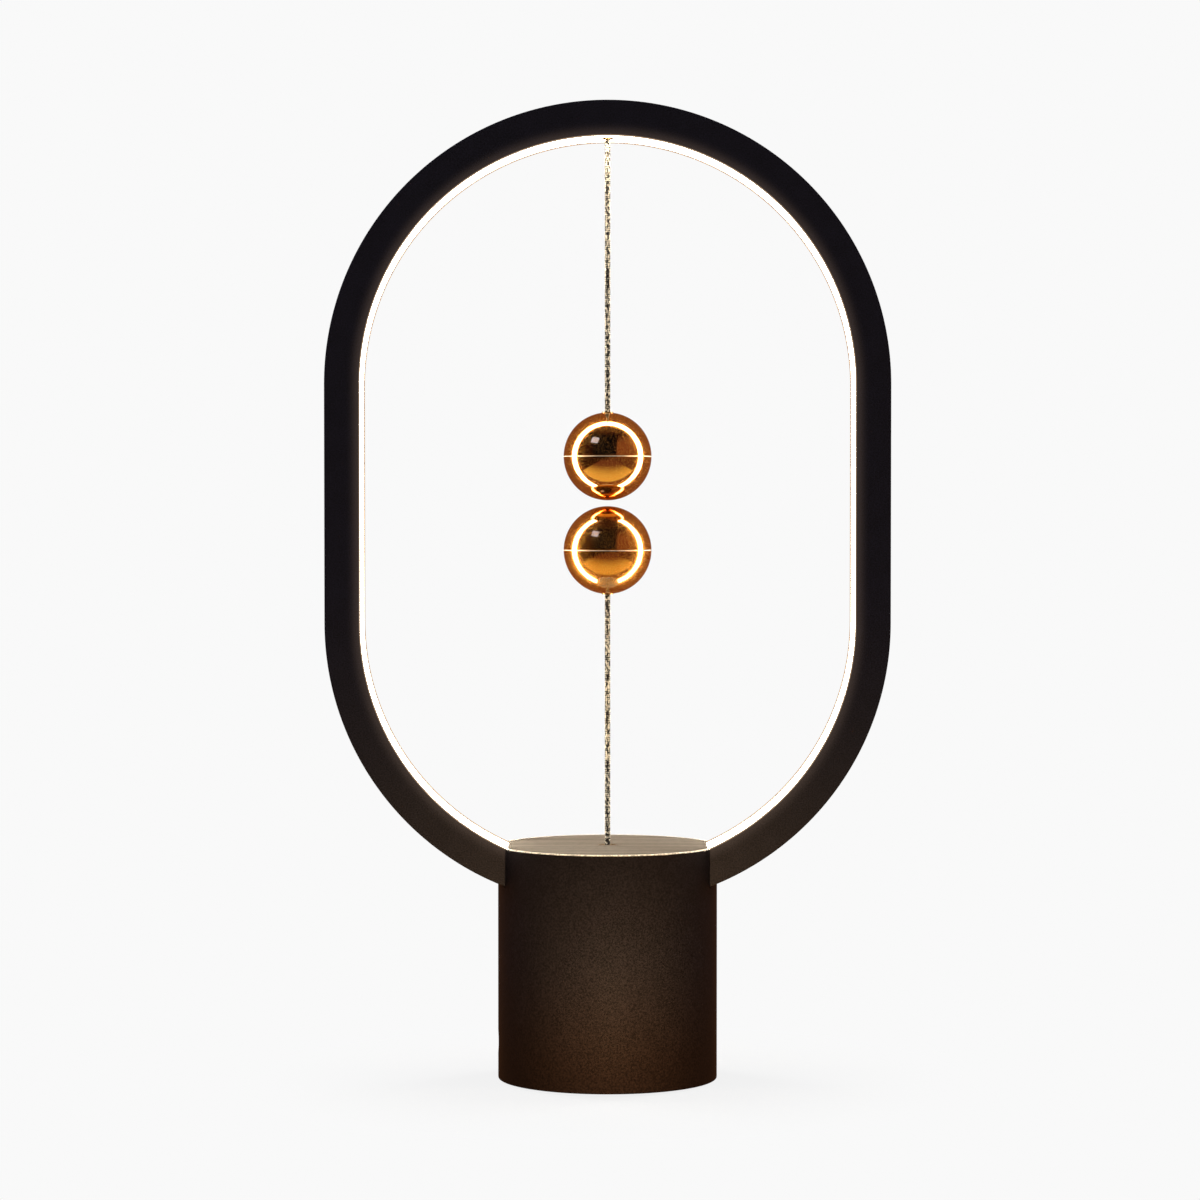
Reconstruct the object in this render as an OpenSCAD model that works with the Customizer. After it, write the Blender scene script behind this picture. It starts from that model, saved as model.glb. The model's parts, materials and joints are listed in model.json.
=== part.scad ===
// Magnetic balance lamp. An upright oval frame glows along its inner edge. A ball with a magnet hangs
// from the top of the frame, and a second one is tethered to the round base. Lifting the lower ball
// until the magnets hold it taut pulls the switch in the base. Balls, cords and switch are drawn with
// the lamp on. Sizes are in millimetres. The origin is the centre of the base where it stands, +Z is
// up and the front looks along -Y.

/* [Frame] */
// Width of the oval frame
frame_w = 230; // [200:1:260]
// Length of the straight sides between the two arches
frame_straight = 97; // [60:1:140]
// Depth of the frame from front to back
frame_depth = 34; // [30:1:42]
// Thickness of the frame from its outer to its inner edge
frame_band = 14.5; // [13.5:0.5:18]
// Wall of the two moulded frame halves
frame_wall = 2; // [1.6:0.1:2.4]
// Rounding of the frame's outer and inner edges
frame_edge = 0.8; // [0.4:0.1:1.2]
// How far the frame reaches down into the base
frame_sink = 23.5; // [21:0.5:26]
// Distance between the two leg ends inside the base
leg_gap = 54; // [50:1:58]
// Thickness of the ribs that stiffen the frame halves
rib_t = 1.2; // [0.8:0.1:2]

/* [Light] */
// Thickness of the diffuser band
diffuser_t = 1.6; // [1.2:0.1:2.4]
// How far the diffuser lies back from the frame's inner edge
diffuser_recess = 0.5; // [0.2:0.1:1]
// Width of the light strip
strip_w = 8; // [6:0.5:10]
// Thickness of the light strip
strip_t = 0.4; // [0.3:0.1:0.8]
// Distance from one light chip to the next
chip_pitch = 16.5; // [12:0.5:25]
// Side of a light chip
chip_w = 3; // [2:0.1:4]

/* [Base] */
// Diameter of the base
base_d = 90; // [86:1:104]
// Height of the base up to its rim
base_h = 96.5; // [92:0.5:120]
// Wall of the base
base_wall = 3; // [2.4:0.1:3.6]
// Thickness of the disc that closes the base
disc_t = 3; // [2.4:0.1:4]
// Thickness of the rim round the disc
rim_t = 1.2; // [0.8:0.1:1.6]
// How far the bridge that carries the frame lies below the frame's lowest point
saddle_drop = 7; // [6:0.5:10]
// Thickness of that bridge
saddle_t = 4; // [3:0.1:5]
// Thickness of the bottom cover
cover_t = 3; // [2.4:0.1:4]
// Thickness of the steel ballast
ballast_t = 7; // [4:0.5:8]
// Thickness of the foot ring
foot_t = 1.2; // [1:0.1:2]
// Width of the foot ring
foot_w = 7; // [5:0.5:9]

/* [Balls and cords] */
// Diameter of both balls
ball_d = 36; // [30:1:42]
// Wall of the ball shells
ball_wall = 1.5; // [1.2:0.1:2.4]
// Gap that the magnets hold open between the balls
ball_gap = 2.4; // [1:0.1:6]
// Height of that gap above the base's disc
meeting_h = 140.3; // [110:0.1:170]
// Diameter of the cords
cord_d = 2.3; // [1.6:0.1:2.4]
// Diameter of the magnets
magnet_d = 15; // [10:0.5:16]
// Thickness of the magnets
magnet_t = 6; // [4:0.5:8]
// Diameter of the bead that carries the upper cord
upper_bead_d = 5.6; // [5.6:0.1:7]
// Diameter of the bead that holds the lower cord down
lower_bead_d = 3.2; // [3.2:0.1:4]
// Height of the seam between the two shells of a ball
seam_h = 0.3; // [0.2:0.1:0.6]

/* [Switch] */
// Travel of the pull slider between off and on
pull_travel = 3; // [2:0.1:3.5]
// Diameter of the pull slider's rod
slider_d = 7; // [6:0.1:7.4]
// Diameter of the slider's flange
flange_d = 18; // [17:0.5:19]
// Thickness of the slider's flange
flange_t = 2; // [1.5:0.1:3]
// Length of the return spring with the lamp on
spring_len = 8; // [7:0.5:10]
// Wire of the return spring
spring_wire = 0.6; // [0.5:0.1:0.7]
// Turns of the return spring
spring_turns = 5; // [4:1:6]
// Length of the switch body
switch_len = 13; // [12.5:0.1:15]
// Height of the switch body
switch_h = 6.5; // [6:0.1:7]
// Thickness of the switch body
switch_w = 6; // [5.6:0.1:7]

/* [Electronics] */
// Diameter of the circuit board
board_d = 60; // [56:1:62]
// Thickness of the circuit board
board_t = 1.6; // [1:0.1:2]
// Height of the power inlet's centre above the table
inlet_z = 16; // [15.6:0.1:18]
// Diameter of the recess round the power inlet
inlet_recess_d = 10.5; // [9.5:0.1:12]
// Width of the inlet's metal shell
inlet_w = 7.5; // [7:0.1:8]
// Height of the inlet's metal shell
inlet_h = 2.7; // [2.4:0.1:3.2]

/* [Hidden] */
$fn = 96;

// Clearances
seat_gap = 0.15;      // between pieces of the same body that seat on each other
slot_gap = 0.3;       // round the frame where it passes through the base
run_gap = 0.08;       // round a bead or rod that moves in its seat
pin_gap = 0.05;       // round a pin or screw in its hole
free_gap = 0.3;       // between pieces that move past each other
eps = 0.01;

// Frame
frame_r = frame_w / 2;
frame_in_r = frame_r - frame_band;
lower_arch_z = base_h - frame_sink + frame_r;
upper_arch_z = lower_arch_z + frame_straight;
frame_half_depth = frame_depth / 2;
channel_r = frame_r - frame_wall;
diffuser_in_r = frame_in_r + diffuser_recess;
diffuser_out_r = diffuser_in_r + diffuser_t;
ledge_r = diffuser_out_r + seat_gap;
ledge_t = 1.2;
ledge_w = 1.5;
rail_t = 1.2;
rail_w = strip_w + 3;
rail_r = channel_r - seat_gap - rail_t;
strip_r = rail_r - seat_gap;
chip_t = 0.7;
rib_step = 22.5;
rib_reach = 4;
seam_notch = 0.2;
leg_x = leg_gap / 2;

// Screws that hold the frame's legs to the saddle
leg_screw_x = leg_x + 6;
leg_screw_y = frame_half_depth / 2;
leg_boss_r = 3;
leg_boss_h = 9;
screw_r = 1.2;
screw_head_r = 2.6;
screw_head_h = 2;
screw_hole_r = screw_r + pin_gap;
screw_free_r = 1.6;

// Base
base_r = base_d / 2;
base_in_r = base_r - base_wall;
disc_r = base_r - rim_t - slot_gap;
disc_z = base_h - disc_t;
rim_edge = 0.5;
shell_z = foot_t / 2;
cover_z = foot_t;
cover_top = cover_z + cover_t;
cover_r = base_in_r - slot_gap;
cover_seat_t = 1.2;
column_r = 4;
column_at = base_in_r - column_r + 0.5;
foot_margin = 1.6;
foot_out_r = column_at - screw_head_r - foot_margin;
foot_in_r = foot_out_r - foot_w;
column_angles = [45, 135, 225, 315];
column_bore = 11;
saddle_z = base_h - frame_sink - saddle_drop;
saddle_top = saddle_z + saddle_t;
saddle_r = base_in_r - slot_gap;
cradle_in_x = leg_x - 3;
cradle_half_y = frame_half_depth - 2;

// Balls and cords
cord_r = cord_d / 2;
ball_r = ball_d / 2;
ball_in_r = ball_r - ball_wall;
meeting_z = base_h + meeting_h;
upper_ball_z = meeting_z + ball_gap / 2 + ball_r;
lower_ball_z = meeting_z - ball_gap / 2 - ball_r;
ferrule_r = cord_r + 0.75;
ferrule_head_r = ferrule_r + 0.4;
ferrule_head_t = 0.35;
ferrule_proud = 0.2;
ferrule_flange_r = ferrule_r + 1.3;
ferrule_flange_t = 0.8;
ferrule_top = ball_r + ferrule_proud;
ring_half_h = 3;
ring_t = 1;
ring_r = sqrt(pow(ball_in_r, 2) - pow(ring_half_h, 2)) - seat_gap;
magnet_r = magnet_d / 2;
cup_r = magnet_r + seat_gap;
cup_t = 1.2;
magnet_face = sqrt(pow(ball_in_r, 2) - pow(magnet_r, 2)) - seat_gap;

// Upper bead: it hangs in a ball seat whose mouth lets the cord swing
upper_bead_r = upper_bead_d / 2;
upper_seat_r = upper_bead_r + run_gap;
upper_bead_drop = 1.9;
upper_pivot_z = upper_arch_z + diffuser_in_r + upper_bead_drop;
upper_neck_drop = 1;
upper_mouth_angle = 50;
bush_r = 4.8;
bush_plate_x = 16;
bush_plate_t = 2;
bush_plate_z = upper_arch_z + ledge_r + ledge_t + slot_gap;
bush_half_y = frame_half_depth - frame_wall - slot_gap;
bush_bottom_z = upper_pivot_z - upper_bead_drop;
bush_neck_r = sqrt(pow(upper_seat_r, 2) - pow(upper_neck_drop, 2));
bush_mouth_r = bush_neck_r + (upper_bead_drop - upper_neck_drop) * tan(upper_mouth_angle);
upper_cord_top = upper_pivot_z - upper_bead_r - pin_gap;
upper_cord_end = upper_ball_z + ferrule_top;

// Lower bead: it is pulled up against the eyelet in the disc
lower_bead_r = lower_bead_d / 2;
lower_seat_r = lower_bead_r + run_gap;
lower_bead_depth = 2.2;
lower_pivot_z = base_h - lower_bead_depth;
lower_neck_rise = 1;
eyelet_r = lower_seat_r + 1.4;
eyelet_flange_r = eyelet_r + 0.8;
eyelet_flange_t = 0.7;
eyelet_len = 7;
eyelet_mouth_r = 2.1;
eyelet_boss_r = eyelet_r + 2.4;
eyelet_neck_r = sqrt(pow(lower_seat_r, 2) - pow(lower_neck_rise, 2));
lower_cord_start = lower_pivot_z + lower_bead_r + pin_gap;
lower_cord_end = lower_ball_z - ferrule_top;

// Pull switch, hung under the saddle
slider_r = slider_d / 2;
flange_r = flange_d / 2;
guide_in_r = slider_r + run_gap;
guide_out_r = guide_in_r + 2;
guide_drop = 4;
guide_rise = 6;
guide_flange_r = guide_out_r + 3.5;
guide_flange_t = 2;
guide_bottom = saddle_z - guide_drop;
flange_top = guide_bottom - spring_len;
slider_top = saddle_top + guide_rise + pull_travel + 1;
tail_socket = 4;
tail_bottom = slider_top - tail_socket;
tail_top = lower_pivot_z - lower_bead_r - free_gap;
spring_r = slider_r + 1.4;
lever_t = 0.5;
lever_w = 4;
lever_pin_r = 0.7;
lever_reach = 12.6;
lever_tip_x = flange_r - 1.4;
lever_pivot_x = lever_tip_x + lever_reach;
lever_rise = 1.9;
lever_pivot_z = flange_top + free_gap + lever_t / 2 + lever_rise;
lever_angle = asin(lever_rise / lever_reach);
plunger_x = lever_pivot_x - 4.2;
plunger_r = 0.9;
plunger_len = 3.6;
plunger_tip_z = lever_pivot_z - 4.2 * tan(lever_angle) + lever_t / 2 / cos(lever_angle) + free_gap;
switch_x = lever_pivot_x + 1.6 - switch_len;
switch_z = lever_pivot_z + 1.2;
switch_half_w = switch_w / 2;
ear_t = 0.8;
ear_half_x = 1.5;
ear_drop = 1.3;
switch_screw_r = 0.95;
switch_screw_at = [[switch_x + 2.2, switch_z + switch_h - 1.6], [lever_pivot_x, switch_z + 2.6]];
tab_t = 3;
tab_x = switch_x - 0.8;
tab_len = switch_len + 1.6;

// Electronics
board_z = inlet_z - inlet_h / 2 - board_t;
board_top = board_z + board_t;
board_r = board_d / 2;
post_at = board_r - 7;
post_r = 3;
post_bore = 6;
post_angles = [0, 120, 240];
coil_at = [-6, 6];
coil_r = 4.5;
coil_h = 5;
can_at = [-8, -8];
can_r = 4;
can_h = 9;
socket_at = [14, 9];
socket_w = 6;
socket_h = 4.2;
driver_at = [-21.5, -0.5];
driver_w = 5;
driver_h = 1.6;
ballast_gap = 1.5;
ballast_r = column_at - column_r - ballast_gap;
ballast_z = cover_top;
inlet_recess_depth = 2.7;
inlet_front_x = -(base_r - inlet_recess_depth);
inlet_len = 5.6;
inlet_skin = 0.3;
bezel_r = inlet_recess_d / 2 - seat_gap;
bezel_len = 3.4;
tongue_half_y = 6;
tongue_x = inlet_front_x + 0.8;

// Routes of the two inner leads, from the board up to what they feed
lead_d = 1.6;
lead_start = board_top + socket_h;
lead_x = socket_at[0];
lead_y = socket_at[1];
hole_x = 26;
hole_y = 19;
lead_hole_r = lead_d / 2 + 0.6;
switch_end = switch_x + switch_len;
switch_mid = switch_z + switch_h / 2;
function climb(share, top) = lead_start + share * (top - lead_start);
led_lead_route = [
    [lead_x, lead_y, lead_start], [lead_x, lead_y, climb(0.11, saddle_z)],
    [15, 10, climb(0.24, saddle_z)], [17, 12, climb(0.36, saddle_z)],
    [20, 14, climb(0.49, saddle_z)], [23, 16, climb(0.62, saddle_z)],
    [25, 18, climb(0.75, saddle_z)], [hole_x, hole_y, climb(0.87, saddle_z)],
    [hole_x, hole_y, saddle_z - 1], [hole_x, hole_y, saddle_top + 1],
    [25, 18, saddle_top + 5], [24.4, 15, saddle_top + 8], [24.2, 11.5, saddle_top + 10],
    [24.2, 8, saddle_top + 11.2], [24.8, 5, saddle_top + 11.8], [26.4, 3, saddle_top + 11.8],
    [28.2, 2.6, saddle_top + 11.7]
];
switch_lead_route = [
    [lead_x, -lead_y, lead_start], [lead_x, -lead_y, climb(0.12, switch_mid)],
    [15, -9, climb(0.26, switch_mid)], [17.5, -8.5, climb(0.41, switch_mid)],
    [20.5, -7.5, climb(0.55, switch_mid)], [23, -6, climb(0.67, switch_mid)],
    [switch_end + 3.2, -4, climb(0.78, switch_mid)], [switch_end + 4.2, -2, switch_mid - 5.3],
    [switch_end + 4, -0.8, switch_mid - 2.3], [switch_end + 2.8, 0, switch_mid - 0.6],
    [switch_end + 1.6, 0, switch_mid], [switch_end + 0.2, 0, switch_mid]
];

function arch_z(r, x) = lower_arch_z - sqrt(r * r - x * x);
function unit(v) = v / norm(v);
function corner(x, y, r, from, to, steps = 4) =
    [for (i = [0 : steps]) let (a = from + (to - from) * i / steps) [x + r * cos(a), y + r * sin(a)]];

// A tube swept along a route: one ring of points square to the route at each of its points
function direction(route, i) = unit(route[min(i + 1, len(route) - 1)] - route[max(i - 1, 0)]);
function ring_points(p, dir, r, sides, up) =
    let (a = unit(cross(dir, up)), b = cross(a, dir))
    [for (k = [0 : sides - 1]) p + r * (cos(360 * k / sides) * a + sin(360 * k / sides) * b)];
module tube(route, d, sides = 8, up = [0, 1, 0]) {
    last = len(route) - 1;
    points = [
        for (i = [0 : last]) each ring_points(route[i], direction(route, i), d / 2, sides, up)
    ];
    sides_faces = [
        for (i = [0 : last - 1], k = [0 : sides - 1])
            let (a = i * sides + k, b = i * sides + (k + 1) % sides)
            each [[a, b, b + sides], [a, b + sides, a + sides]]
    ];
    start_face = [for (k = [sides - 1 : -1 : 0]) k];
    end_face = [for (k = [0 : sides - 1]) last * sides + k];
    polyhedron(points, concat([start_face], sides_faces, [end_face]));
}

// A straight cord between two heights on the lamp's axis, with a ring every two and a half diameters
module straight_cord(z_low, z_high) {
    steps = ceil((z_high - z_low) / (2.5 * cord_d));
    tube([for (i = [0 : steps]) [0, 0, z_low + (z_high - z_low) * i / steps]], cord_d);
}

// A pan head screw that points along +Z from the underside of its head
module screw(length) {
    translate([0, 0, -screw_head_h]) difference() {
        union() {
            cylinder(h = screw_head_h, r = screw_head_r);
            cylinder(h = screw_head_h + length, r = screw_r);
        }
        for (turn = [0, 90]) rotate([0, 0, turn])
            translate([-1.4, -0.35, -eps]) cube([2.8, 0.7, 1]);
    }
}

// Carries a profile along the oval. The profile's x is the distance from the arch's centre and its
// y is the depth, which is positive to the front.
module along_oval() {
    translate([0, 0, lower_arch_z]) rotate([90, 0, 0]) {
        translate([0, frame_straight, 0]) rotate_extrude(angle = 180) children();
        rotate([0, 0, 180]) rotate_extrude(angle = 180) children();
        for (side = [0, 1]) mirror([side, 0, 0])
            translate([0, frame_straight, 0]) rotate([90, 0, 0])
                linear_extrude(height = frame_straight) children();
    }
}

// The space between the two legs, where the frame is open
module between_legs() {
    translate([-leg_x, -frame_depth, lower_arch_z - 1.1 * frame_r])
        cube([leg_gap, 2 * frame_depth, frame_r]);
}

// A round bar across the lamp, centred on the lower arch
module arch_bar(r, half_y) {
    translate([0, half_y, lower_arch_z]) rotate([90, 0, 0]) cylinder(h = 2 * half_y, r = r);
}

// One half of the frame's channel: outer wall, face, rounded edges and the ledge behind the diffuser
module channel_profile() {
    face = frame_half_depth - frame_wall;
    polygon(concat(
        [[channel_r, 0], [frame_r - seam_notch, 0], [frame_r, seam_notch]],
        corner(frame_r - frame_edge, frame_half_depth - frame_edge, frame_edge, 0, 90),
        corner(frame_in_r + frame_edge, frame_half_depth - frame_edge, frame_edge, 90, 180),
        [[frame_in_r, face], [ledge_r, face], [ledge_r, face - ledge_w]],
        [[ledge_r + ledge_t, face - ledge_w], [ledge_r + ledge_t, face], [channel_r, face]]
    ));
}

// The rail that carries the light strip and registers the front half on the back half
module rail_profile() {
    polygon([
        [rail_r, -rail_w / 2], [channel_r + frame_wall / 2, -rail_w / 2],
        [channel_r + frame_wall / 2, -eps], [channel_r - seat_gap, -eps],
        [channel_r - seat_gap, rail_w / 2], [rail_r, rail_w / 2]
    ]);
}

// Ribs across the corner of the channel, drawn for the front half
module channel_ribs() {
    face = frame_half_depth - frame_wall + eps;
    rib = [[channel_r + eps, face], [channel_r + eps, face - rib_reach], [channel_r - rib_reach, face]];
    rotate([90, 0, 0]) {
        for (a = [rib_step : rib_step : 180 - rib_step])
            translate([0, upper_arch_z, 0]) rotate([0, 0, a])
                rotate([90, 0, 0]) linear_extrude(height = rib_t, center = true) polygon(rib);
        for (a = [rib_step, 2 * rib_step, 180 - 2 * rib_step, 180 - rib_step])
            translate([0, lower_arch_z, 0]) rotate([0, 0, -a])
                rotate([90, 0, 0]) linear_extrude(height = rib_t, center = true) polygon(rib);
        for (side = [0, 1], place = [0, 1 / 3, 2 / 3, 1])
            mirror([side, 0, 0]) translate([0, lower_arch_z + frame_straight * place, 0])
                rotate([90, 0, 0]) linear_extrude(height = rib_t, center = true) polygon(rib);
    }
}

// Screw bosses at the front of both legs
module leg_bosses() {
    for (side = [-1, 1]) intersection() {
        translate([side * leg_screw_x, -leg_screw_y, arch_z(frame_r, leg_x)])
            cylinder(h = leg_boss_h + frame_wall, r = leg_boss_r);
        arch_bar(frame_r - frame_wall / 2, frame_depth);
    }
}
module leg_bores() {
    for (side = [-1, 1]) translate([side * leg_screw_x, -leg_screw_y, arch_z(frame_r, leg_x) - 4])
        cylinder(h = leg_boss_h + 4, r = screw_hole_r);
}

module frame_front_half() {
    color("#1d1b21") difference() {
        union() {
            difference() {
                union() {
                    along_oval() channel_profile();
                    channel_ribs();
                }
                between_legs();
            }
            leg_bosses();
        }
        leg_bores();
    }
}

module frame_back_half() {
    color("#1d1b21") difference() {
        union() {
            difference() {
                union() {
                    along_oval() mirror([0, 1, 0]) channel_profile();
                    mirror([0, 1, 0]) channel_ribs();
                    along_oval() rail_profile();
                }
                between_legs();
            }
            mirror([0, 1, 0]) leg_bosses();
        }
        mirror([0, 1, 0]) leg_bores();
    }
}

module frame_diffuser() {
    half = frame_half_depth - frame_wall - seat_gap;
    color("#fff3dc") difference() {
        along_oval() translate([diffuser_in_r, -half]) square([diffuser_t, 2 * half]);
        between_legs();
        translate([0, 0, bush_bottom_z - 5]) cylinder(h = 10, r = bush_r + seat_gap);
    }
}

module led_strip() {
    color("#f4f1e8") difference() {
        along_oval() translate([strip_r - strip_t, -strip_w / 2]) square([strip_t, strip_w]);
        between_legs();
    }
}

module chip() {
    translate([strip_r - strip_t - seat_gap - chip_t, -chip_w / 2, -chip_w / 2])
        cube([chip_t, chip_w, chip_w]);
}
module led_chips() {
    arch_chips = floor(PI * strip_r / chip_pitch);
    leg_angle = acos((leg_screw_x + leg_boss_r) / strip_r);
    leg_chips = floor(PI * strip_r * leg_angle / 180 / chip_pitch);
    side_chips = floor(frame_straight / chip_pitch);
    color("#ffe9b0") rotate([90, 0, 0]) {
        translate([0, upper_arch_z, 0])
            for (i = [0 : arch_chips]) rotate([0, 0, 180 * i / arch_chips]) chip();
        translate([0, lower_arch_z, 0]) for (i = [0 : leg_chips], side = [0, 1])
            mirror([side, 0, 0]) rotate([0, 0, -leg_angle * i / leg_chips]) chip();
        for (i = [1 : side_chips], side = [0, 1])
            mirror([side, 0, 0]) translate([0, lower_arch_z + frame_straight * i / (side_chips + 1), 0])
                chip();
    }
}

module upper_cord_bush() {
    top = bush_plate_z + bush_plate_t;
    color("#f3efe4") difference() {
        union() {
            translate([0, 0, bush_bottom_z]) cylinder(h = top - bush_bottom_z, r = bush_r);
            translate([-bush_plate_x / 2, -bush_half_y, bush_plate_z])
                cube([bush_plate_x, 2 * bush_half_y, bush_plate_t]);
        }
        translate([0, 0, upper_pivot_z]) sphere(r = upper_seat_r);
        translate([0, 0, upper_pivot_z]) cylinder(h = top - upper_pivot_z + eps, r = upper_seat_r);
        translate([0, 0, bush_bottom_z - eps]) cylinder(
            h = upper_bead_drop - upper_neck_drop + eps,
            r1 = bush_mouth_r, r2 = bush_neck_r
        );
    }
}

module upper_cord_bead() {
    color("#c9a45c") translate([0, 0, upper_pivot_z]) sphere(r = upper_bead_r);
}

module upper_cord() {
    color("#3a3530") straight_cord(upper_cord_end, upper_cord_top);
}

// The ball is drawn once as the upper one, with its cord at the top and its magnet at the bottom
module at_upper_ball() {
    translate([0, 0, upper_ball_z]) children();
}
module at_lower_ball() {
    translate([0, 0, lower_ball_z]) mirror([0, 0, 1]) children();
}

module half_ball() {
    difference() {
        sphere(r = ball_r, $fn = 128);
        sphere(r = ball_in_r, $fn = 128);
        translate([-ball_d, -ball_d, seam_h / 2 - 2 * ball_d]) cube(2 * ball_d);
    }
}

module ball_cord_shell() {
    spot = ball_r + ferrule_proud - ferrule_head_t;
    color("#b5713a") difference() {
        half_ball();
        cylinder(h = 2 * ball_r, r = ferrule_r + pin_gap);
        translate([0, 0, spot]) cylinder(h = 5, r = ferrule_head_r + seat_gap);
    }
}

module ball_magnet_shell() {
    color("#b5713a") mirror([0, 0, 1]) union() {
        half_ball();
        intersection() {
            difference() {
                translate([0, 0, magnet_face - magnet_t + 1]) cylinder(h = ball_r, r = cup_r + cup_t);
                cylinder(h = ball_r, r = cup_r);
            }
            sphere(r = ball_in_r + ball_wall / 2, $fn = 128);
        }
    }
}

module ball_joint_ring() {
    color("#ecd9a8") difference() {
        union() {
            translate([0, 0, -ring_half_h]) cylinder(h = 2 * ring_half_h, r = ring_r);
            translate([0, 0, -seam_h / 2]) cylinder(h = seam_h, r = ball_r - 0.1);
        }
        cylinder(h = 4 * ring_half_h, r = ring_r - ring_t, center = true);
    }
}

module ball_ferrule() {
    inside = sqrt(pow(ball_in_r, 2) - pow(ferrule_flange_r, 2)) - seat_gap;
    color("#c9a45c") union() {
        translate([0, 0, inside]) cylinder(h = ferrule_top - inside, r = ferrule_r);
        translate([0, 0, ferrule_top - ferrule_head_t])
            cylinder(h = ferrule_head_t, r = ferrule_head_r);
        translate([0, 0, inside - ferrule_flange_t])
            cylinder(h = ferrule_flange_t, r = ferrule_flange_r);
    }
}

module ball_magnet() {
    color("#b8bcc2") translate([0, 0, -magnet_face]) cylinder(h = magnet_t, r = magnet_r);
}

module upper_ball_cord_shell() { at_upper_ball() ball_cord_shell(); }
module upper_ball_magnet_shell() { at_upper_ball() ball_magnet_shell(); }
module upper_ball_joint_ring() { at_upper_ball() ball_joint_ring(); }
module upper_ball_ferrule() { at_upper_ball() ball_ferrule(); }
module upper_ball_magnet() { at_upper_ball() ball_magnet(); }
module lower_ball_cord_shell() { at_lower_ball() ball_cord_shell(); }
module lower_ball_magnet_shell() { at_lower_ball() ball_magnet_shell(); }
module lower_ball_joint_ring() { at_lower_ball() ball_joint_ring(); }
module lower_ball_ferrule() { at_lower_ball() ball_ferrule(); }
module lower_ball_magnet() { at_lower_ball() ball_magnet(); }

module lower_cord() {
    color("#3a3530") straight_cord(lower_cord_start, lower_cord_end);
}

module lower_cord_bead() {
    color("#c9a45c") translate([0, 0, lower_pivot_z]) sphere(r = lower_bead_r);
}

module cord_eyelet() {
    neck_z = lower_pivot_z + lower_neck_rise;
    color("#8f7a5e") difference() {
        union() {
            translate([0, 0, base_h - eyelet_len]) cylinder(h = eyelet_len, r = eyelet_r);
            translate([0, 0, base_h - eyelet_flange_t])
                cylinder(h = eyelet_flange_t, r = eyelet_flange_r);
        }
        translate([0, 0, lower_pivot_z]) sphere(r = lower_seat_r);
        translate([0, 0, base_h - eyelet_len - 1])
            cylinder(h = lower_pivot_z - base_h + eyelet_len + 1, r = lower_seat_r);
        translate([0, 0, neck_z])
            cylinder(h = base_h - neck_z + eps, r1 = eyelet_neck_r, r2 = eyelet_mouth_r);
    }
}

module top_disc() {
    color("#b9a78c") difference() {
        union() {
            translate([0, 0, disc_z]) cylinder(h = disc_t, r = disc_r);
            translate([0, 0, base_h - eyelet_len + 1])
                cylinder(h = eyelet_len - 1, r = eyelet_boss_r);
        }
        translate([0, 0, base_h - eyelet_len - 1]) cylinder(h = eyelet_len + 2, r = eyelet_r + pin_gap);
        translate([0, 0, base_h - eyelet_flange_t])
            cylinder(h = 5, r = eyelet_flange_r + pin_gap);
        difference() {
            arch_bar(frame_r, frame_half_depth + slot_gap);
            arch_bar(frame_in_r - slot_gap, frame_depth);
        }
    }
}

// The base's wall in section, with a rounded rim and the rebate that the disc lies in
module shell_profile() {
    rebate_r = base_r - rim_t;
    polygon(concat(
        [[base_in_r, shell_z], [base_r - rim_edge, shell_z]],
        corner(base_r - rim_edge, shell_z + rim_edge, rim_edge, -90, 0),
        corner(base_r - rim_edge, base_h - rim_edge, rim_edge, 0, 90),
        [[rebate_r, base_h], [rebate_r, disc_z], [base_in_r, disc_z]]
    ));
}

module at_columns() {
    for (a = column_angles) rotate([0, 0, a]) translate([column_at, 0, 0]) children();
}

module base_shell() {
    color("#2e2320") difference() {
        union() {
            rotate_extrude() shell_profile();
            at_columns() translate([0, 0, cover_top])
                cylinder(h = saddle_z - cover_top, r = column_r, $fn = 48);
        }
        at_columns() translate([0, 0, cover_top - eps]) cylinder(h = column_bore, r = screw_hole_r);
        at_columns() translate([0, 0, saddle_z - column_bore])
            cylinder(h = column_bore + eps, r = screw_hole_r);
        arch_bar(frame_r + slot_gap, frame_half_depth + slot_gap);
        translate([-base_r - 5, 0, inlet_z]) rotate([0, 90, 0])
            cylinder(h = base_wall + 10, r = inlet_recess_d / 2);
    }
}

// The bridge: a round plate with a cradle for each leg of the frame and a tab for the switch
module frame_saddle() {
    color("#d8d4ca") difference() {
        union() {
            translate([0, 0, saddle_z]) cylinder(h = saddle_t, r = saddle_r);
            for (side = [0, 1]) mirror([side, 0, 0]) intersection() {
                translate([cradle_in_x, -cradle_half_y, saddle_z])
                    cube([base_r, 2 * cradle_half_y, frame_band + saddle_t]);
                translate([0, 0, saddle_z]) cylinder(h = 4 * frame_band, r = saddle_r);
            }
            translate([tab_x, switch_half_w, switch_z]) cube([tab_len, tab_t, saddle_z - switch_z + eps]);
        }
        arch_bar(frame_r + seat_gap, frame_depth);
        translate([0, 0, saddle_z - 1]) cylinder(h = saddle_t + 2, r = guide_out_r + seat_gap);
        at_columns() translate([0, 0, saddle_z - 1]) cylinder(h = saddle_t + 2, r = screw_free_r);
        translate([hole_x, hole_y, saddle_z - 1]) cylinder(h = saddle_t + 2, r = lead_hole_r);
        for (x = [-1, 1], y = [-1, 1]) translate([x * leg_screw_x, y * leg_screw_y, saddle_z - 1])
            cylinder(h = 3 * frame_band, r = screw_free_r);
        for (at = switch_screw_at) translate([at[0], switch_half_w + tab_t + 1, at[1]])
            rotate([90, 0, 0]) cylinder(h = tab_t + 2, r = switch_screw_r + pin_gap);
    }
}

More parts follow.
